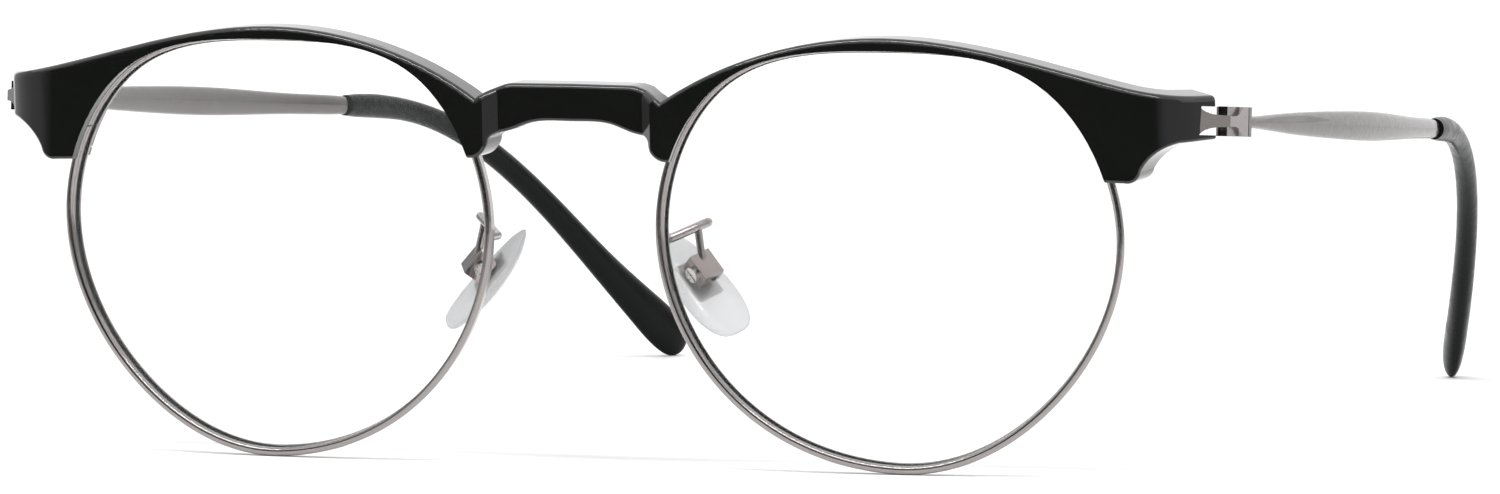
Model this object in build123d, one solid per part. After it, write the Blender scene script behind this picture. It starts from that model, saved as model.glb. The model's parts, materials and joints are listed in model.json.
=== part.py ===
from build123d import *
from math import atan2, cos, degrees, pi, radians, sin, tan
import os

# Browline eyeglasses, millimetres. The front is drawn in its own frame: X across, Y back
# towards the wearer, Z up along the lenses, origin midway between the lens centres on the
# front of the rims. The last section leans the whole assembly so that it stands on a table
# on its two rims and two temple tips. The right half (+X) is drawn and mirrored.

# ---------------------------------------------------------------- driving dimensions
lens_spacing = 69.6          # between lens centres
wrap_angle = 4.9             # each lens plane turned back towards the temple
rim_half_width = 25.6        # rim outline, outside, at its front edge
rim_widest_height = 1.3      # height of the widest point above the lens centre
rim_below = 24.8             # lens centre to the bottom of the rim
rim_above = 20.8             # lens centre to the top of the rim
shoulder_out_temporal = 17.5
shoulder_out_nasal = 18.1
shoulder_up = 17.1
lower_out = 17.55
lower_down = 17.55
rim_wall = 0.85              # radial thickness of the rim wire
rim_taper = 0.23             # the rim narrows towards the back, by this share of the depth
rim_depth = 1.8              # front to back
rim_round = 0.32
lens_groove_depth = 0.45
lens_groove_width = 0.7
lens_thickness = 1.5
lens_curve_radius = 200.0
lens_bulge = 1.2             # lens centre in front of the rim's front
lens_gap = 0.05

brow_lip = 1.2               # brow in front of the rim
brow_depth = 4.1             # front to back
brow_gap = 0.05              # rim to groove
brow_lip_step = 0.12         # rim stands this far inside the lip
brow_top_round = 0.65        # rounding of the bar's upper front edge
brow_back_round = 0.6        # rounding of its upper back edge
brow_low_round = 0.3         # rounding of its lower front edges
brow_crown = 21.4            # top of the bar over the lens centre
brow_end_top = 15.1
brow_end_bottom = 10.5
wrap_start = 61.0            # where the front begins to turn back
wrap_radius = 7.7
wrap_turn = 64.0             # direction of the end of the bar
brow_end_straight = 3.0
bridge_half = 8.2            # flat middle of the bridge
bridge_step = 1.2            # bridge face behind the brow face
bridge_fold = 1.3
bridge_top = 16.05
bridge_bottom = 12.1
valley_out = 10.5            # notch between bridge and brow
valley_height = 14.4
nasal_end_height = 8.1
temporal_end_height = 6.45
lobe_out = 62.0

hinge_x = 67.05              # hinge axis
hinge_y = 16.0
hinge_z = 11.45
temple_slope = 7.0           # temples fall away from the front
knuckle_radius = 1.2
knuckle_total = 3.1
middle_knuckle = 1.1
knuckle_gap = 0.05
leaf_inner = 1.35            # hinge axis to the inner face of the leaves
leaf_thickness = 1.0
leaf_gap = 0.1               # slit between the two leaves when open
leaf_length = 6.7
hinge_pin_radius = 0.55
hinge_pin_clearance = 0.05
hinge_head_radius = 0.95
hinge_head_height = 0.45
strap_rise = 0.4             # hourglass strap above the leaf
strap_end = 3.0              # strap stops this far ahead of the axis
strap_waist_at = 7.3
strap_waist_half = 0.6
strap_fan_at = 9.9
strap_fan_half = 1.4
notch_clearance = 0.1
shoulder_length = 0.8

leg_thickness = 0.9          # arm of the end piece behind the brow
leg_half_height = 1.3
leg_height = 12.9
lock_height = 10.0           # where the rim is split
lock_split = 0.15
lock_half_height = 1.9
lock_width = 2.3
lock_screw_radius = 0.4
lock_head_radius = 0.65
lock_head_height = 0.4
lock_room = 0.3              # pocket in the brow round the closing block
brow_screw_turn = 36.0       # where on the turned end of the bar the screw sits
brow_screw_radius = 0.5
brow_screw_length = 2.4      # into the brow
brow_head_radius = 0.85
brow_head_height = 0.4

temple_length = 141.2        # hinge axis to the end of the tip, along the temple
blade_end = 74.2             # where the tip sleeve begins
blade_thickness = 1.4
bow_start = 14.0
bow_inward = 22.3            # how far the end comes in
bow_power = 2.14
bend_start = 80.5
bend_radius = 54.0
bend_turn = 37.7
core_radius = 0.6
core_clearance = 0.05
core_end = 126.0
spear_start = 2.2
spear_end = 26.0
spear_top = 0.85             # above the middle of the blade
spear_bottom = 0.1
spear_depth = 0.2

pad_arm_radius = 0.5
pad_arm_root = (9.75, 0.7, -0.5)      # on the back of the rim, nasal side
pad_arm_reach = (3.2, 3.3, 1.5)       # root to the end of the bar
pad_stem_inset = 1.25
pad_stem_radius = 0.42
pad_axis_drop = (-0.3, -1.0, -4.95)   # end of the bar to the pad screw
pad_long_direction = (-0.64, 0.12, 0.755)
pad_splay = 30.0
pad_length = 13.4
pad_width = 6.6
pad_thickness = 1.9
pad_dome_radius = 19.0       # curve of the face that rests on the nose
pad_below_axis = 0.85
pad_standoff = 1.1           # screw axis to the back of the pad
cheek_gap = 0.1
cheek_thickness = 0.6
tongue_width = 1.2
pad_box_size = 3.0
pad_box_back = 1.3           # behind the screw axis, away from the nose
pad_box_front = 0.9
pad_screw_radius = 0.4
pad_screw_clearance = 0.05
pad_head_radius = 0.85
pad_head_height = 0.4

# ---------------------------------------------------------------- frames and curves
wrap = radians(wrap_angle)
lens_centre = lens_spacing / 2
lens_plane = Plane(origin=(lens_centre, 0, 0), x_dir=(cos(wrap), sin(wrap), 0),
                   z_dir=(sin(wrap), -cos(wrap), 0))
slope = radians(temple_slope)
hinge_plane = Plane(origin=(hinge_x, hinge_y, hinge_z), x_dir=(1, 0, 0),
                    z_dir=(0, sin(slope), cos(slope)))


def in_lens(shape):
    """Place a shape drawn as (towards the temple, up, forwards) on the right lens plane."""
    return lens_plane.location * shape


def in_hinge(shape):
    """Place a shape drawn as (outwards, back along the temple, up) on the right hinge."""
    return hinge_plane.location * shape


def box(x, y, z):
    """A block between the two values of each of x, y and z."""
    centre = ((x[0] + x[1]) / 2, (y[0] + y[1]) / 2, (z[0] + z[1]) / 2)
    return Pos(*centre) * Box(x[1] - x[0], y[1] - y[0], z[1] - z[0])


def rod(start, end, radius):
    """A round bar with flat ends from start to end."""
    path = Line(start, end)
    return Solid.extrude(Face(Wire.make_circle(radius, Plane(path @ 0, z_dir=path % 0))),
                         (path @ 1) - (path @ 0))


def rim_face(grow=0.0):
    """The rim outline, grown outwards, as (towards the temple, up)."""
    points = [
        (0, -rim_below), (lower_out, -lower_down), (rim_half_width, rim_widest_height),
        (shoulder_out_temporal, shoulder_up), (0, rim_above),
        (-shoulder_out_nasal, shoulder_up), (-rim_half_width, rim_widest_height),
        (-lower_out, -lower_down),
    ]
    grown = [Vector(*p) * (1 + grow / Vector(*p).length) for p in points]
    return make_face(Spline(*grown, periodic=True))


def lens_slab(grow, front, back, taper=rim_taper):
    """The rim outline grown and thickened between two depths behind the rim's front face."""
    if taper == 0:
        return Pos(0, 0, -back) * extrude(rim_face(grow), back - front)
    return loft([Pos(0, 0, -depth) * rim_face(grow - taper * depth) for depth in (back, front)], ruled=True)


def front_y(x, depth):
    """Depth behind the brow's front face, at distance x from the middle of the front."""
    return ((x - lens_centre) * sin(wrap) + depth - brow_lip) / cos(wrap)


def band(front, back, start=0.0, height=60.0):
    """The part of the bar between two depths behind its front face, as a tall slab."""
    def edge(depth):
        nose = bridge_half + bridge_fold
        points = []
        if start < bridge_half:
            flat = front_y(nose, depth) + bridge_step
            points += [(0, flat), (bridge_half, flat)]
        points += [(max(start, nose), front_y(max(start, nose), depth))]
        radius = wrap_radius - depth
        centre = (wrap_start - wrap_radius * sin(wrap), front_y(wrap_start, 0) + wrap_radius * cos(wrap))
        turn = [wrap, (wrap + radians(wrap_turn)) / 2, radians(wrap_turn)]
        arc = [(centre[0] + radius * sin(a), centre[1] - radius * cos(a)) for a in turn]
        end = (arc[2][0] + brow_end_straight * cos(turn[2]), arc[2][1] + brow_end_straight * sin(turn[2]))
        return points + [arc[0]], arc, end

    run_a, arc_a, end_a = edge(front)
    run_b, arc_b, end_b = edge(back)
    outline = Polyline(*run_a) + ThreePointArc(*arc_a) + Line(arc_a[2], end_a)
    outline += Line(end_a, end_b) + Line(end_b, arc_b[2]) + ThreePointArc(*reversed(arc_b))
    outline += Polyline(*reversed(run_b)) + Line(run_b[0], run_a[0])
    return Pos(0, 0, -height / 2) * extrude(make_face(outline), height)


def both(right_shape):
    """A right-hand shape and its mirror image."""
    return right_shape, mirror(right_shape, Plane.YZ)


# ---------------------------------------------------------------- front
def long_edges(bar, on_front, upper):
    """The upper or lower edges that run along the front or the back face of the bar."""
    front_half = band(-1, brow_depth / 2)
    height = (valley_height + bridge_bottom) / 2
    chosen = []
    for edge in bar.edges():
        sides = {front_half.is_inside(edge @ end, 0.01) for end in (0, 1)}
        along = edge % 0.5
        if sides == {on_front} and max(abs(along.Y), abs(along.Z)) < 0.95:
            if ((edge @ 0.5).Z > height) == upper:
                chosen.append(edge)
    return chosen


def brow_bar():
    """One-piece bar with its bridge, grooved for the rims and notched for the end pieces."""
    beyond = hinge_x + 4
    crown = Spline((valley_out, valley_height), (22, 19.65), (lens_centre, brow_crown), (48, 19.65),
                   (58, 17.15), (beyond, brow_end_top - 0.3))
    lobe = ThreePointArc((66.0, brow_end_bottom), (lobe_out + 1.5, 9.1), (lobe_out + 0.5, temporal_end_height + 1.2))
    lobe_foot = ThreePointArc(lobe @ 1, (lobe_out, temporal_end_height + 0.3),
                              (lobe_out - 1.2, temporal_end_height))
    nasal_foot = ThreePointArc((valley_out + 0.9, nasal_end_height), (valley_out - 0.7, nasal_end_height + 0.5),
                               (valley_out - 1.4, nasal_end_height + 2.0))
    arch = Spline(nasal_foot @ 1, (valley_out - 3.1, bridge_bottom - 1.2), (4.8, bridge_bottom - 0.3),
                  (0, bridge_bottom), tangents=[(-0.4, 1), (-1, 0)])
    outline = Line((0, bridge_top), (bridge_half - 1.6, bridge_top - 0.05))
    outline += Spline((bridge_half - 1.6, bridge_top - 0.05), (bridge_half + 0.1, bridge_top - 0.45),
                      (valley_out, valley_height), tangents=[(1, 0), (1, -1)])
    outline += crown + Line(crown @ 1, (beyond, brow_end_bottom)) + Line((beyond, brow_end_bottom), lobe @ 0)
    outline += lobe + lobe_foot + Line(lobe_foot @ 1, nasal_foot @ 0) + nasal_foot + arch
    outline += Line((0, bridge_bottom), (0, bridge_top))
    blank = extrude(Plane.XZ * make_face(outline), 40, both=True)
    half = blank & band(0, brow_depth)
    for on_front, upper, radius in ((True, True, brow_top_round), (False, True, brow_back_round),
                                    (True, False, brow_low_round)):
        half = fillet(long_edges(half, on_front, upper), radius)
    half -= in_lens(lens_slab(-rim_wall + brow_lip_step, -20, 20, taper=0))
    half -= in_lens(lens_slab(brow_gap, -brow_gap, rim_depth + brow_gap))
    half -= in_lens(lock_pocket())
    half -= in_hinge(box((-8, 8), (-strap_fan_at - notch_clearance, 0), (-strap_fan_half - notch_clearance,
                                                         strap_fan_half + notch_clearance)))
    half -= brow_screw_rod(brow_screw_radius, brow_depth - brow_screw_length, brow_depth + 1)
    return half + mirror(half, Plane.YZ)


lock_middle = rim_half_width - rim_wall / 2 - 0.15
lock_sides = (lock_middle - lock_width / 2, lock_middle + lock_width / 2)
lock_bottom = lock_height - lock_half_height
lock_top = lock_height + lock_half_height
lock_back = brow_depth - brow_lip + leg_thickness


def lock_pocket():
    """Room in the brow for the closing block behind the rim."""
    below = lock_bottom - lock_head_height - lock_room
    return box((lock_sides[0] - lock_room, lock_sides[1] + lock_room), (below, lock_top + lock_room),
               (-lock_back - 1, -rim_depth))


def rim():
    """Grooved rim wire, split at the closing block."""
    ring = lens_slab(0, 0, rim_depth) - lens_slab(-rim_wall, -1, rim_depth + 1)
    ring = fillet(ring.edges(), rim_round)
    middle = rim_depth / 2
    ring -= lens_slab(-rim_wall + lens_groove_depth, middle - lens_groove_width / 2,
                      middle + lens_groove_width / 2)
    slit = box((10, rim_half_width + 5), (lock_height - lock_split / 2, lock_height + lock_split / 2), (-5, 5))
    return in_lens(ring - slit)


def lens():
    """Curved lens with the ridge that sits in the rim's groove."""
    shell = Sphere(lens_curve_radius) - Sphere(lens_curve_radius - lens_thickness)
    shell = Pos(0, 0, lens_bulge - lens_curve_radius) * shell
    body = lens_slab(-rim_wall - lens_gap, -4, 6) & shell
    middle = rim_depth / 2
    half_ridge = lens_groove_width / 2 - lens_gap
    ridge = lens_slab(-rim_wall + lens_groove_depth - lens_gap, middle - half_ridge, middle + half_ridge)
    ridge -= lens_slab(-rim_wall - 1.2, -2, 5)
    return in_lens(body + ridge)


def lock_block():
    """The closing block's two halves, one each side of the slit."""
    block = box(lock_sides, (lock_bottom, lock_top), (-lock_back, -rim_depth))
    block -= box((0, 40), (lock_height - lock_split / 2, lock_height + lock_split / 2), (-10, 10))
    hole = Pos(lock_middle, 0, -(rim_depth + lock_back) / 2) * Rot(90, 0, 0) * Cylinder(lock_screw_radius, 60)
    return in_lens(block - hole)


def lock_screw():
    """Screw that pulls the closing block together, head underneath."""
    depth = -(rim_depth + lock_back) / 2
    shank = rod((lock_middle, lock_bottom, depth), (lock_middle, lock_top - 0.2, depth), lock_screw_radius)
    head = rod((lock_middle, lock_bottom - lock_head_height, depth), (lock_middle, lock_bottom, depth),
               lock_head_radius)
    slot = box((lock_middle - 2, lock_middle + 2),
               (lock_bottom - lock_head_height, lock_bottom - lock_head_height / 2), (depth - 0.1, depth + 0.1))
    return in_lens(shank + head - slot)


# ---------------------------------------------------------------- end piece and hinge
def knuckle(low, high, side):
    """One hinge knuckle with the web that joins it to the leaf ahead (-1) or behind (+1)."""
    web = sorted((0, side * knuckle_radius))
    body = box((0, leaf_inner + 0.1), web, (low, high))
    return body + Pos(0, 0, (low + high) / 2) * Cylinder(knuckle_radius, high - low)


def end_piece():
    """Arm behind the brow, hourglass strap through the notch, and the front hinge leaf."""
    half = knuckle_total / 2
    outer = leaf_inner + leaf_thickness
    leaf = box((leaf_inner, outer), (-leaf_length, -leaf_gap), (-half, half))
    for low, high in ((-half, -middle_knuckle / 2 - knuckle_gap), (middle_knuckle / 2 + knuckle_gap, half)):
        leaf += knuckle(low, high, -1)
    waist = strap_waist_half
    side_view = Spline((-strap_fan_at, strap_fan_half), (-strap_waist_at, waist), (-strap_end, half),
                       tangents=[(1, -1.2), (1, 1.2)])
    side_view += Line((-strap_end, half), (-strap_end, -half))
    side_view += Spline((-strap_end, -half), (-strap_waist_at, -waist), (-strap_fan_at, -strap_fan_half),
                        tangents=[(-1, 1.2), (-1, -1.2)])
    side_view += Line((-strap_fan_at, -strap_fan_half), (-strap_fan_at, strap_fan_half))
    profile = extrude(Plane.YZ * make_face(side_view), 12, both=True)
    rise = outer + strap_rise
    plan = Polyline((-0.9, -strap_fan_at), (0.5, -strap_fan_at), (rise, -strap_waist_at + 0.5),
                    (rise, -strap_end), (leaf_inner + 0.2, -strap_end), (leaf_inner + 0.2, -leaf_length),
                    (-0.9, -leaf_length - 1.6), close=True)
    strap = extrude(make_face(plan), 6, both=True) & profile
    tongue = box((-3.6, 0.4), (-strap_fan_at + 0.9, -leaf_length - 0.4), (-waist - 0.3, waist + 0.3))
    arm_start = lens_centre + lock_middle
    arm = band(brow_depth, brow_depth + leg_thickness, start=arm_start)
    arm &= box((arm_start, hinge_x + 6), (-5, 40), (leg_height - leg_half_height, leg_height + leg_half_height))
    arm -= in_lens(box((0, lock_sides[1]), (lock_bottom, lock_top), (-9, 0)))
    piece = in_hinge(leaf + strap + tongue) + arm
    piece -= in_hinge(Cylinder(hinge_pin_radius, 20))
    piece -= in_hinge(Pos(0, 0, half - hinge_head_height / 2) * Cylinder(hinge_head_radius, hinge_head_height))
    return piece - brow_screw_rod(brow_screw_radius, brow_depth - 1, brow_depth + leg_thickness + 1)


def brow_screw_rod(radius, start, end):
    """A rod along the brow screw's axis, between two depths behind the brow's front face."""
    turn = radians(brow_screw_turn)
    centre = (wrap_start - wrap_radius * sin(wrap), front_y(wrap_start, 0) + wrap_radius * cos(wrap))
    ends = [(centre[0] + (wrap_radius - depth) * sin(turn), centre[1] - (wrap_radius - depth) * cos(turn),
             leg_height) for depth in (start, end)]
    return rod(ends[0], ends[1], radius)


def brow_screw():
    """Screw that holds the end piece's arm to the back of the brow."""
    hollow = wrap_radius - brow_depth - leg_thickness
    seat = wrap_radius - (hollow ** 2 - brow_head_radius ** 2) ** 0.5 + 0.02
    shank = brow_screw_rod(brow_screw_radius, brow_depth - brow_screw_length + 0.2, seat + 0.1)
    return shank + brow_screw_rod(brow_head_radius, seat, seat + brow_head_height)


def hinge_screw():
    """Hinge pin with a slotted head sunk into the top knuckle."""
    half = knuckle_total / 2
    pin = Cylinder(hinge_pin_radius, knuckle_total)
    head = Pos(0, 0, half - hinge_head_height / 2) * Cylinder(hinge_head_radius, hinge_head_height)
    slot = box((-2, 2), (-0.12, 0.12), (half - hinge_head_height / 2, half + 1))
    return in_hinge(pin + head - slot)


# ---------------------------------------------------------------- temple
def temple_centre(s):
    """Centre line of the temple at length s from the hinge, in the hinge frame."""
    bend_end = bend_start + bend_radius * radians(bend_turn)
    turn = min(max(s - bend_start, 0) / bend_radius, radians(bend_turn))
    past = max(s - bend_end, 0)
    y = min(s, bend_start) + bend_radius * sin(turn) + past * cos(turn)
    z = -bend_radius * (1 - cos(turn)) - past * sin(turn)
    share = max(s - bow_start, 0) / (temple_length - bow_start)
    return Vector(leaf_inner + leaf_thickness / 2 - bow_inward * share ** bow_power, y, z)


def temple_section(s, height, thickness):
    """An elliptical section of the temple at length s."""
    step = 0.05
    along = (temple_centre(s + step) - temple_centre(s - step)).normalized()
    plane = Plane(origin=temple_centre(s), x_dir=(along.Y, -along.X, 0), z_dir=along)
    return plane * Ellipse(thickness / 2, height / 2)


def temple_rod(start, end, radius, count=8):
    """A round rod along the temple's centre line."""
    steps = [start + (end - start) * i / (count - 1) for i in range(count)]
    return loft([temple_section(s, 2 * radius, 2 * radius) for s in steps])


def temple():
    """Spindle-shaped blade with its hinge leaf and the wire core that carries the tip."""
    half = knuckle_total / 2
    outer = leaf_inner + leaf_thickness
    leaf = box((leaf_inner, outer), (leaf_gap, leaf_gap + shoulder_length), (-half, half))
    leaf += knuckle(-middle_knuckle / 2, middle_knuckle / 2, 1)
    leaf -= Cylinder(hinge_pin_radius + hinge_pin_clearance, 20)
    stations = [(0.6, 1.25), (3, 1.3), (10, 1.9), (20, 2.6), (36, 3.12), (52, 2.82), (64, 2.3), (blade_end, 1.95)]
    blade = loft([temple_section(s, height, blade_thickness if s > 8 else 1.0 + 0.05 * s)
                  for s, height in stations])
    middle = (spear_start + spear_end) / 2
    point = (spear_top + spear_bottom) / 2
    spear = ThreePointArc((spear_start, 0), (middle, spear_top), (spear_end, point))
    spear += ThreePointArc((spear_end, point), (middle, spear_bottom), (spear_start, 0))
    recess = extrude(Plane.YZ * make_face(spear), 6)
    surface = leaf_inner + (leaf_thickness + blade_thickness) / 2
    blade -= Pos(surface - spear_depth, 0, 0) * recess
    core = temple_rod(blade_end - 4, core_end, core_radius)
    return in_hinge(leaf + blade + core)


def temple_tip():
    """Moulded sleeve over the wire, bent down behind the ear, with a broad rounded end."""
    stations = [(0, 2.3, 2.2), (1.0, 2.45, 2.3), (12, 2.5, 2.3), (26, 2.6, 2.3), (42, 2.85, 2.35),
                (54, 3.6, 2.45), (61, 4.6, 2.45), (65, 4.9, 2.3), (67.2, 4.0, 1.8), (68.3, 1.8, 0.9)]
    scale = (temple_length - blade_end) / 68.3
    body = loft([temple_section(blade_end + s * scale, height, thick) for s, height, thick in stations])
    bore = temple_rod(blade_end - 0.5, core_end + 0.3, core_radius + core_clearance)
    return in_hinge(body - bore)


# ---------------------------------------------------------------- nose pads
arm_root = Vector(*pad_arm_root)
arm_end = arm_root + Vector(*pad_arm_reach)
pad_axis_point = arm_end + Vector(*pad_axis_drop)
pad_long = Vector(*pad_long_direction).normalized()
towards_nose = Vector(-cos(radians(pad_splay)), sin(radians(pad_splay)), 0)
pad_normal = (towards_nose - pad_long * towards_nose.dot(pad_long)).normalized()
pad_plane = Plane(origin=pad_axis_point, x_dir=pad_long.cross(pad_normal), z_dir=pad_normal)


def in_pad(shape):
    """Place a shape drawn as (along the pad screw, up the pad, towards the nose)."""
    return pad_plane.location * shape


def pad_block():
    """Outside of the pad box, before it is hollowed."""
    outer = tongue_width / 2 + cheek_gap + cheek_thickness
    half = pad_box_size / 2
    return box((-outer, outer), (-half, half), (-pad_box_back, pad_box_front))


def pad_arm():
    """Bar from the rim with a rounded end, and the stem down to the pad box."""
    along = (arm_end - arm_root).normalized()
    stem_top = arm_end - along * pad_stem_inset
    stem_foot = pad_plane.from_local_coords((0, pad_box_size / 4, 0.3 - pad_box_back))
    inset = rim_half_width - rim_wall / 2 - rim_taper * rim_depth
    weld = lens_plane.from_local_coords((-inset, arm_root.Z, -rim_depth + 0.3))
    bar = rod(arm_root, arm_end, pad_arm_radius) + Pos(*arm_end) * Sphere(pad_arm_radius)
    bar += rod(weld, arm_root, pad_arm_radius) + Pos(*arm_root) * Sphere(pad_arm_radius)
    wire = bar + rod(stem_top, stem_foot, pad_stem_radius)
    return wire - in_pad(pad_block()) - in_lens(lens_slab(0.0, -3, rim_depth))


def pad_box():
    """U-shaped box with two cheeks that the pad's tongue fits between."""
    inner = tongue_width / 2 + cheek_gap
    half = pad_box_size / 2
    shell = pad_block() - box((-inner, inner), (-half, half), (cheek_thickness - pad_box_back, 9))
    shell = fillet(shell.edges().filter_by(Axis.X).group_by(Axis.Z)[-1], 0.5)
    return in_pad(shell - Rot(0, 90, 0) * Cylinder(pad_screw_radius, 10))


def pad_screw():
    """Small slotted screw through the pad box."""
    outer = tongue_width / 2 + cheek_gap + cheek_thickness
    shank = Rot(0, 90, 0) * Cylinder(pad_screw_radius, 2 * outer)
    head = Pos(outer + pad_head_height / 2, 0, 0) * Rot(0, 90, 0) * Cylinder(pad_head_radius, pad_head_height)
    slot = box((outer + pad_head_height / 2, outer + 2), (-2, 2), (-0.1, 0.1))
    return in_pad(shank + head - slot)


def pad_insert():
    """Metal tongue with a backing plate moulded into the pad."""
    half = tongue_width / 2
    tongue = box((-half, half), (-0.6, 0.6), (0, pad_standoff + 0.3))
    tongue += Rot(0, 90, 0) * Cylinder(0.6, tongue_width)
    plate = box((-1.6, 1.6), (-2.6, 2.0), (pad_standoff + 0.3, pad_standoff + 0.7))
    return in_pad(tongue + plate - Rot(0, 90, 0) * Cylinder(pad_screw_radius + pad_screw_clearance, 10))


def nose_pad():
    """Soft teardrop pad, domed on the nose side."""
    low = -pad_length / 2 - pad_below_axis
    high = pad_length / 2 - pad_below_axis
    half = pad_width / 2
    side = Spline((0, low), (half, low + 0.36 * pad_length), (0.62 * half, high - 0.16 * pad_length), (0, high),
                  tangents=[(1, 0), (-1, 0)])
    outline = side + mirror(side, Plane.YZ)
    slab = Pos(0, 0, pad_standoff) * extrude(make_face(outline), pad_thickness)
    slab &= Pos(0, -pad_below_axis, pad_standoff + pad_thickness - pad_dome_radius) * Sphere(pad_dome_radius)
    half_tongue = tongue_width / 2
    slab -= box((-half_tongue, half_tongue), (-0.6, 0.6), (0, pad_standoff + 0.3))
    slab -= box((-1.6, 1.6), (-2.6, 2.0), (pad_standoff + 0.3, pad_standoff + 0.7))
    return in_pad(slab)


# ---------------------------------------------------------------- assembly
pairs = {
    "rim": rim, "lens": lens, "rim_lock": lock_block, "rim_lock_screw": lock_screw,
    "end_piece": end_piece, "brow_screw": brow_screw, "hinge_screw": hinge_screw,
    "temple": temple, "temple_tip": temple_tip, "pad_arm": pad_arm, "pad_box": pad_box,
    "pad_screw": pad_screw, "pad_insert": pad_insert, "nose_pad": nose_pad,
}
parts = {"brow_bar": brow_bar()}
for name, maker in pairs.items():
    parts[name + "_right"], parts[name + "_left"] = both(maker())


def stand():
    """The placement that sets the rims and the temple tips on the table, centred on it."""
    lean = 0.0
    for _ in range(4):
        turned = Rot(lean, 0, 0)
        rim_box = (turned * parts["rim_right"]).bounding_box()
        tip_box = (turned * parts["temple_tip_right"]).bounding_box()
        reach = tip_box.max.Y - rim_box.center().Y
        lean -= degrees(atan2(tip_box.min.Z - rim_box.min.Z, reach))
    turned = Rot(lean, 0, 0)
    boxes = [(turned * shape).bounding_box() for shape in parts.values()]
    front, back = min(b.min.Y for b in boxes), max(b.max.Y for b in boxes)
    low = min(b.min.Z for b in boxes)
    return Pos(0, -(front + back) / 2, -low) * turned


placement = stand()
os.makedirs("parts", exist_ok=True)
for name, shape in parts.items():
    export_step(placement * shape, f"parts/{name}.step")
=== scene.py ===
import json
import math

import bmesh
import bpy
from mathutils import Matrix, Vector


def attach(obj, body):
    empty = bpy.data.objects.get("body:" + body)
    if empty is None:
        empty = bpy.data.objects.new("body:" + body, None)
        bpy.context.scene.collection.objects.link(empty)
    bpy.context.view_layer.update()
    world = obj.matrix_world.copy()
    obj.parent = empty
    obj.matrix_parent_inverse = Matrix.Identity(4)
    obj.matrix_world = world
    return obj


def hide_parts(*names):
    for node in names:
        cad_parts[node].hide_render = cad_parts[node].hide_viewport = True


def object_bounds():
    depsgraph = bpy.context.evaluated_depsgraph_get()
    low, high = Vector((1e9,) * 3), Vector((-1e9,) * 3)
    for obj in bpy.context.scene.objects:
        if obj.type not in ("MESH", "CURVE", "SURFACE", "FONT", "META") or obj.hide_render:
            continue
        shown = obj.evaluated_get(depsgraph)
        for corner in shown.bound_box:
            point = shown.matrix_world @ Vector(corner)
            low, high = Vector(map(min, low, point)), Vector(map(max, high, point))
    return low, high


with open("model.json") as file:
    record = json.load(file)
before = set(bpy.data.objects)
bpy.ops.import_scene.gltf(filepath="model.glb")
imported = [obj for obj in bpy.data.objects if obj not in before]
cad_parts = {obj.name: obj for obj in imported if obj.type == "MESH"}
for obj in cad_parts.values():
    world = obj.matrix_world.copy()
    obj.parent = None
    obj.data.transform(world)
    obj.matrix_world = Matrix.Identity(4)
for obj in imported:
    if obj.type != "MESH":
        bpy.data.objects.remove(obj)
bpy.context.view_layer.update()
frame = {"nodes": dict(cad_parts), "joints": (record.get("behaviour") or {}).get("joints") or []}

# Browline glasses standing on their rims and temple tips. The front has its own frame: X across,
# Y back towards the wearer, Z up along the lenses, origin midway between the lens centres on the
# front of the rims. Everything below is in metres.
TEMPLE_SLOPE = math.radians(7.0)                     # temples fall away from the front
HINGE = Vector((0.06705, 0.016, 0.01145))            # right hinge, in the front's frame
MM = 0.001

joints = {joint["name"]: joint for joint in frame["joints"]}
hinge_axis = Vector(joints["temple_right_fold"]["axis"])
hinge_point = Vector(joints["temple_right_fold"]["pos_m"])
LEAN = TEMPLE_SLOPE - math.atan2(hinge_axis.y, hinge_axis.z)
front_turn = Matrix.Rotation(LEAN, 3, "X")
front_origin = hinge_point - front_turn @ HINGE
FRONT = Matrix.Translation(front_origin) @ front_turn.to_4x4()


# ------------------------------------------------------------------ camera
CAMERA_PLACE = Vector((0.653400, -1.610528, 0.204369))   # in the front's frame
CAMERA_TURNS = (21.493, 83.233, -1.234)                  # yaw, tilt and roll in degrees
CAMERA_LENS = 397.99                                     # focal length on a 36 mm sensor


def make_camera():
    """The photograph's view: high and to the wearer's left, through a long lens."""
    yaw, tilt, roll = (math.radians(angle) for angle in CAMERA_TURNS)
    turn = Matrix.Rotation(yaw, 4, "Z") @ Matrix.Rotation(tilt, 4, "X") @ Matrix.Rotation(roll, 4, "Z")
    data = bpy.data.cameras.new("camera")
    data.lens = CAMERA_LENS
    data.sensor_width = 36.0
    data.clip_start = 0.05
    data.clip_end = 20.0
    camera = bpy.data.objects.new("camera", data)
    camera.matrix_world = FRONT @ Matrix.Translation(CAMERA_PLACE) @ turn
    bpy.context.scene.collection.objects.link(camera)
    bpy.context.scene.camera = camera


# ------------------------------------------------------------------ materials
def new_material(name, color, roughness, **sockets):
    """A Principled material with its uniform numbers set on the shader's own sockets."""
    material = bpy.data.materials.new(name)
    material.use_nodes = True
    shader = material.node_tree.nodes["Principled BSDF"]
    shader.inputs["Base Color"].default_value = (*color, 1)
    shader.inputs["Roughness"].default_value = roughness
    for socket, value in sockets.items():
        shader.inputs[socket.replace("_", " ")].default_value = value
    return material


def noise(material, scale, detail=4.0, stretch=(1, 1, 1)):
    """A noise texture in object space, scale in features per metre."""
    nodes, links = material.node_tree.nodes, material.node_tree.links
    place = nodes.new("ShaderNodeTexCoord")
    mapping = nodes.new("ShaderNodeMapping")
    mapping.inputs["Scale"].default_value = stretch
    texture = nodes.new("ShaderNodeTexNoise")
    texture.inputs["Scale"].default_value = scale
    texture.inputs["Detail"].default_value = detail
    links.new(place.outputs["Object"], mapping.inputs["Vector"])
    links.new(mapping.outputs["Vector"], texture.inputs["Vector"])
    return texture.outputs["Fac"]


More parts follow.
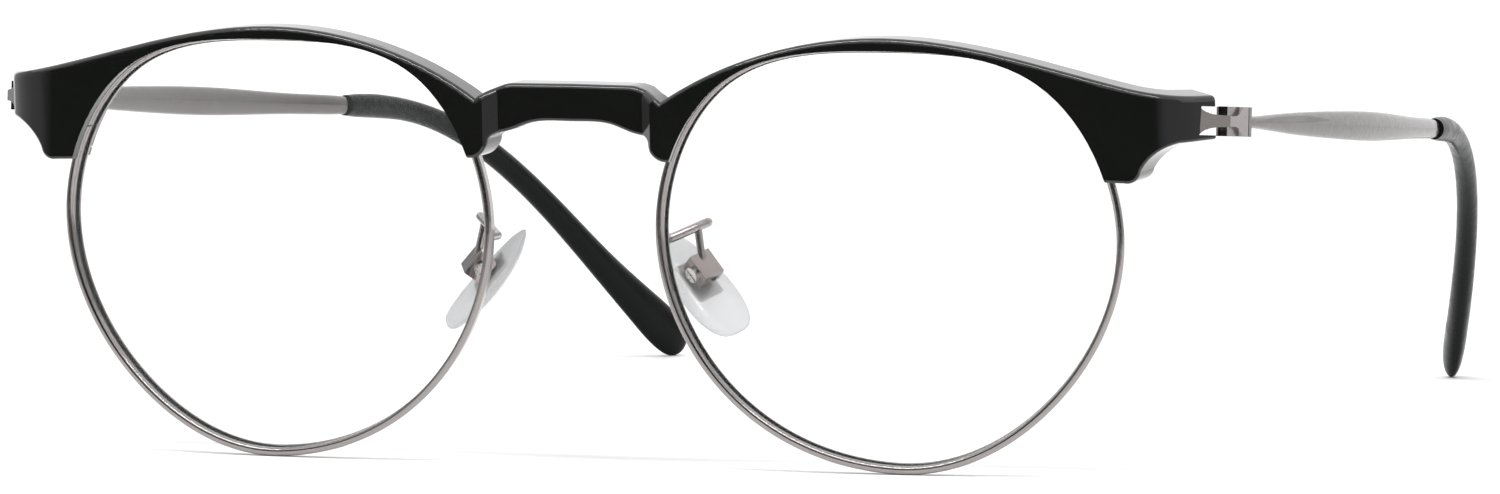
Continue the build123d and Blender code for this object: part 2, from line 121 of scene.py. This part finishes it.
def ramp(material, value, low, high, span=(0.35, 0.65)):
    """Maps value between two numbers of span to low and high."""
    node = material.node_tree.nodes.new("ShaderNodeMapRange")
    node.inputs["From Min"].default_value, node.inputs["From Max"].default_value = span
    node.inputs["To Min"].default_value, node.inputs["To Max"].default_value = low, high
    material.node_tree.links.new(value, node.inputs["Value"])
    return node.outputs["Result"]


def shown(sockets, name):
    """The socket of that name that a node with several data types is using."""
    return next(socket for socket in sockets if socket.name == name and socket.enabled)


def blend_color(material, value, low, high):
    """A colour between low and high, as value goes from 0 to 1."""
    node = material.node_tree.nodes.new("ShaderNodeMix")
    node.data_type = "RGBA"
    shown(node.inputs, "A").default_value = (*low, 1)
    shown(node.inputs, "B").default_value = (*high, 1)
    material.node_tree.links.new(value, shown(node.inputs, "Factor"))
    return shown(node.outputs, "Result")


def plug(material, output, socket):
    shader = material.node_tree.nodes["Principled BSDF"]
    material.node_tree.links.new(output, shader.inputs[socket])


def bump(material, height, strength, distance):
    node = material.node_tree.nodes.new("ShaderNodeBump")
    node.inputs["Strength"].default_value = strength
    node.inputs["Distance"].default_value = distance
    material.node_tree.links.new(height, node.inputs["Height"])
    plug(material, node.outputs["Normal"], "Normal")


def edge_wear(material, low, high, span=(0.502, 0.53)):
    """A colour that lightens where the surface is sharply convex."""
    geometry = material.node_tree.nodes.new("ShaderNodeNewGeometry")
    worn = ramp(material, geometry.outputs["Pointiness"], 0.0, 1.0, span)
    return blend_color(material, worn, low, high)


def acetate():
    """Polished black moulding: deep gloss, faint hairline scratches, a slightly uneven polish."""
    material = new_material("acetate_black", (0.006, 0.007, 0.006), 0.05, IOR=1.47, Coat_Weight=0.25,
                            Coat_Roughness=0.02)
    plug(material, ramp(material, noise(material, 900, 6, (1, 1, 7)), 0.035, 0.10), "Roughness")
    cloud = noise(material, 160)
    plug(material, blend_color(material, cloud, (0.005, 0.006, 0.005), (0.009, 0.010, 0.009)), "Base Color")
    bump(material, noise(material, 260, 3), 0.02, 0.0002)
    return material


def gunmetal(name="gunmetal", color=(0.26, 0.243, 0.238), polish=0.13):
    """Polished grey plating with fine lengthwise polishing marks and rubbed edges."""
    material = new_material(name, color, polish, Metallic=1.0)
    marks = noise(material, 1400, 5, (9, 1, 9))
    plug(material, ramp(material, marks, polish - 0.05, polish + 0.12), "Roughness")
    worn = tuple(min(1, c * 1.25) for c in color)
    plug(material, edge_wear(material, color, worn), "Base Color")
    bump(material, marks, 0.04, 0.00005)
    return material


def steel():
    """Turned screw steel: concentric machining marks, darker in the slots."""
    material = new_material("screw_steel", (0.50, 0.48, 0.47), 0.28, Metallic=1.0)
    plug(material, ramp(material, noise(material, 3500, 3), 0.2, 0.42), "Roughness")
    plug(material, edge_wear(material, (0.40, 0.385, 0.38), (0.62, 0.60, 0.58)), "Base Color")
    bump(material, noise(material, 2600, 2), 0.08, 0.00004)
    return material


def tip_plastic():
    """Satin black sleeve with a fine moulded grain and a soft sheen."""
    material = new_material("tip_black", (0.007, 0.008, 0.008), 0.24, IOR=1.5, Specular_IOR_Level=0.06)
    plug(material, ramp(material, noise(material, 700, 5), 0.18, 0.32), "Roughness")
    cloud = noise(material, 120)
    plug(material, blend_color(material, cloud, (0.005, 0.006, 0.006), (0.009, 0.010, 0.010)), "Base Color")
    bump(material, noise(material, 5200, 4), 0.04, 0.00003)
    return material


def lens_clear():
    """Clear lens: almost nothing face on, a faint reflection at a glancing angle, tiny smears."""
    material = new_material("lens_clear", (0.93, 0.95, 0.95), 0.02, IOR=1.5)
    nodes, links = material.node_tree.nodes, material.node_tree.links
    facing = nodes.new("ShaderNodeLayerWeight")
    facing.inputs["Blend"].default_value = 0.25
    plug(material, ramp(material, facing.outputs["Facing"], 0.012, 0.22, (0.0, 1.0)), "Alpha")
    plug(material, ramp(material, noise(material, 90, 6), 0.01, 0.08), "Roughness")
    return material


def silicone():
    """Clear soft silicone, milky where it is thick, with a wet-looking skin."""
    material = new_material("silicone_clear", (0.86, 0.87, 0.89), 0.12, IOR=1.43, Coat_Weight=0.4,
                            Coat_Roughness=0.05)
    nodes = material.node_tree.nodes
    facing = nodes.new("ShaderNodeLayerWeight")
    facing.inputs["Blend"].default_value = 0.45
    plug(material, ramp(material, facing.outputs["Facing"], 0.38, 0.85, (0.1, 0.95)), "Alpha")
    plug(material, ramp(material, noise(material, 500, 4), 0.03, 0.14), "Roughness")
    plug(material, blend_color(material, noise(material, 220), (0.50, 0.51, 0.53), (0.70, 0.71, 0.72)),
         "Base Color")
    bump(material, noise(material, 600, 3), 0.35, 0.0003)
    return material


def dress_cad_nodes():
    """Gives every carried-over CAD node its finished material, by what it is made of."""
    finishes = {
        "brow_bar": acetate(), "rim": gunmetal("rim_plating"), "lens": lens_clear(),
        "rim_lock": gunmetal("lock_plating", polish=0.2), "rim_lock_screw": steel(),
        "end_piece": gunmetal("end_plating", (0.20, 0.18, 0.175), 0.18), "brow_screw": steel(),
        "hinge_screw": steel(), "temple": gunmetal("temple_plating", (0.115, 0.106, 0.103), 0.14),
        "temple_tip": tip_plastic(),
        "pad_arm": gunmetal("pad_plating", (0.36, 0.335, 0.33), 0.09),
        "pad_box": gunmetal("box_plating", (0.25, 0.22, 0.212), 0.08), "pad_screw": steel(),
        "pad_insert": gunmetal("insert_plating", (0.36, 0.34, 0.33), 0.25), "nose_pad": silicone(),
    }
    for name, node in frame["nodes"].items():
        kind = name.removesuffix("_left").removesuffix("_right")
        node.data.materials.clear()
        node.data.materials.append(finishes[kind])
    return finishes


# ------------------------------------------------------------------ nose pads
PAD_UP = Vector((-0.64, 0.12, 0.755)).normalized()   # right pad, in the front's frame
PAD_LENGTH = 13.4 * MM
PAD_WIDTH = 6.6 * MM
PAD_BELOW = 0.85 * MM                                # pad centre below the pad screw
PAD_BACK = 1.1 * MM                                  # screw to the back of the pad
PAD_THICK = 1.9 * MM
PAD_DOME = 19.0 * MM
PAD_BORDER = 0.42                                    # height of the widest line, of the thickness
PAD_STATIONS = 44
PAD_AROUND = 36


def pad_half_width(share):
    """Half the pad's width at a share of its length from the bottom: a broad teardrop."""
    return PAD_WIDTH / 2 * max(math.sin(math.pi * share ** 0.678), 0.0) ** 0.47


def nose_pad_mesh(bm, place):
    """A pillowed teardrop round the pad's tongue, with a raised rolled border on its back."""
    rings = []
    for i in range(PAD_STATIONS + 1):
        share = (1 - math.cos(math.pi * i / PAD_STATIONS)) / 2
        half = pad_half_width(share)
        along = PAD_LENGTH * (share - 0.5)
        ring = []
        for k in range(PAD_AROUND):
            angle = 2 * math.pi * k / PAD_AROUND
            c, s = math.cos(angle), math.sin(angle)
            across = half * math.copysign(abs(c) ** 0.75, c)
            sag = (along ** 2 + across ** 2) / (2 * PAD_DOME)
            middle = PAD_BACK + PAD_BORDER * PAD_THICK - 0.35 * sag
            top = PAD_BACK + PAD_THICK - sag
            reach = (top - middle) if s > 0 else (middle - PAD_BACK)
            thin = min(1.0, half / (0.28 * PAD_WIDTH))
            height = middle + reach * thin * math.copysign(abs(s) ** 0.8, s)
            ring.append(bm.verts.new(place @ Vector((across, along - PAD_BELOW, height))))
        rings.append(ring)
    for a, b in zip(rings, rings[1:]):
        for k in range(PAD_AROUND):
            m = (k + 1) % PAD_AROUND
            bm.faces.new((a[k], a[m], b[m], b[k]))
    bmesh.ops.remove_doubles(bm, verts=bm.verts, dist=1e-6)
    bmesh.ops.recalc_face_normals(bm, faces=bm.faces)


def nose_pads(material):
    """The two clear pads, in place of the plain CAD ones."""
    for side, label in ((1, "right"), (-1, "left")):
        joint = joints[f"nose_pad_{label}_rock"]
        up = front_turn @ Vector((side * PAD_UP.x, PAD_UP.y, PAD_UP.z))
        axis = Vector(joint["axis"])
        axis = (axis - up * axis.dot(up)).normalized()
        normal = axis.cross(up)
        if normal.x * side > 0:
            axis, normal = -axis, -normal
        turn = Matrix((axis, up, normal)).transposed()
        place = Matrix.Translation(Vector(joint["pos_m"])) @ turn.to_4x4()
        bm = bmesh.new()
        nose_pad_mesh(bm, place)
        mesh = bpy.data.meshes.new(f"pad_{label}")
        bm.to_mesh(mesh)
        bm.free()
        mesh.shade_smooth()
        mesh.materials.append(material)
        pad = bpy.data.objects.new(f"silicone_pad_{label}", mesh)
        bpy.context.scene.collection.objects.link(pad)
        smooth = pad.modifiers.new("round", "SUBSURF")
        smooth.levels = smooth.render_levels = 1
        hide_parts(f"nose_pad_{label}")
        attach(pad, f"nose_pad_{label}_body")


# ------------------------------------------------------------------ floor and light
FLOOR_RADIUS = 0.4
FLOOR_AHEAD = 0.11                                   # floor in front of the glasses
FLOOR_GAP = 0.00002                                  # floor below the glasses


def make_floor():
    """A round pale table top."""
    low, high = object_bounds()
    bm = bmesh.new()
    bmesh.ops.create_circle(bm, cap_ends=True, segments=96, radius=FLOOR_RADIUS)
    mesh = bpy.data.meshes.new("table")
    bm.to_mesh(mesh)
    bm.free()
    floor = bpy.data.objects.new("table", mesh)
    floor.location = ((low.x + high.x) / 2, low.y - FLOOR_AHEAD + FLOOR_RADIUS, low.z - FLOOR_GAP)
    material = new_material("table_white", (0.94, 0.94, 0.94), 0.7)
    plug(material, ramp(material, noise(material, 40), 0.62, 0.78), "Roughness")
    mesh.materials.append(material)
    bpy.context.scene.collection.objects.link(floor)


def sky():
    """White round the object, a wide softbox above it, and a dark room in front of it."""
    world = bpy.data.worlds.new("studio")
    bpy.context.scene.world = world
    world.use_nodes = True
    nodes, links = world.node_tree.nodes, world.node_tree.links
    background = nodes["Background"]
    place = nodes.new("ShaderNodeTexCoord")
    split = nodes.new("ShaderNodeSeparateXYZ")
    links.new(place.outputs["Generated"], split.inputs["Vector"])

    def math_node(kind, a, b):
        node = nodes.new("ShaderNodeMath")
        node.operation = kind
        for socket, value in zip(node.inputs, (a, b)):
            if isinstance(value, float):
                socket.default_value = value
            else:
                links.new(value, socket)
        return node.outputs["Value"]

    def between(value, low, high, out_low, out_high):
        node = nodes.new("ShaderNodeMapRange")
        node.interpolation_type = "SMOOTHSTEP"
        links.new(value, node.inputs["Value"])
        for socket, number in zip(("From Min", "From Max", "To Min", "To Max"),
                                  (low, high, out_low, out_high)):
            node.inputs[socket].default_value = number
        return node.outputs["Result"]

    above = between(split.outputs["Z"], 0.42, 0.58, 0.0, 1.15)
    sides = between(math_node("ABSOLUTE", split.outputs["X"], 0.0), 0.55, 0.85, 0.0, 0.5)
    behind = between(split.outputs["Y"], 0.5, 0.95, 0.0, 1.3)
    glow = math_node("MAXIMUM", math_node("MAXIMUM", above, sides), math_node("MAXIMUM", behind, 0.045))
    sight = nodes.new("ShaderNodeLightPath")
    links.new(math_node("MAXIMUM", glow, sight.outputs["Is Camera Ray"]), background.inputs["Strength"])
    background.inputs["Color"].default_value = (1, 1, 1, 1)


def softbox(name, place, target, size, power):
    """A rectangular lamp aimed at a point."""
    data = bpy.data.lights.new(name, "AREA")
    data.shape = "RECTANGLE"
    data.size, data.size_y = size
    data.energy = power
    lamp = bpy.data.objects.new(name, data)
    lamp.location = place
    lamp.rotation_euler = (Vector(target) - Vector(place)).to_track_quat("-Z", "Y").to_euler()
    bpy.context.scene.collection.objects.link(lamp)


OVERHEAD = {"place": (0.0, -0.35, 0.85), "target": (0, 0, 0), "size": (1.2, 0.06), "power": 5.5}
RIGHT_FILL = {"place": (0.9, 0.1, 0.35), "target": (0, 0, 0.02), "size": (0.5, 0.7), "power": 0.8}

make_camera()
finishes = dress_cad_nodes()
nose_pads(finishes["nose_pad"])
make_floor()
sky()
softbox("overhead", **OVERHEAD)
softbox("right_fill", **RIGHT_FILL)
bpy.context.scene.view_settings.view_transform = "Standard"
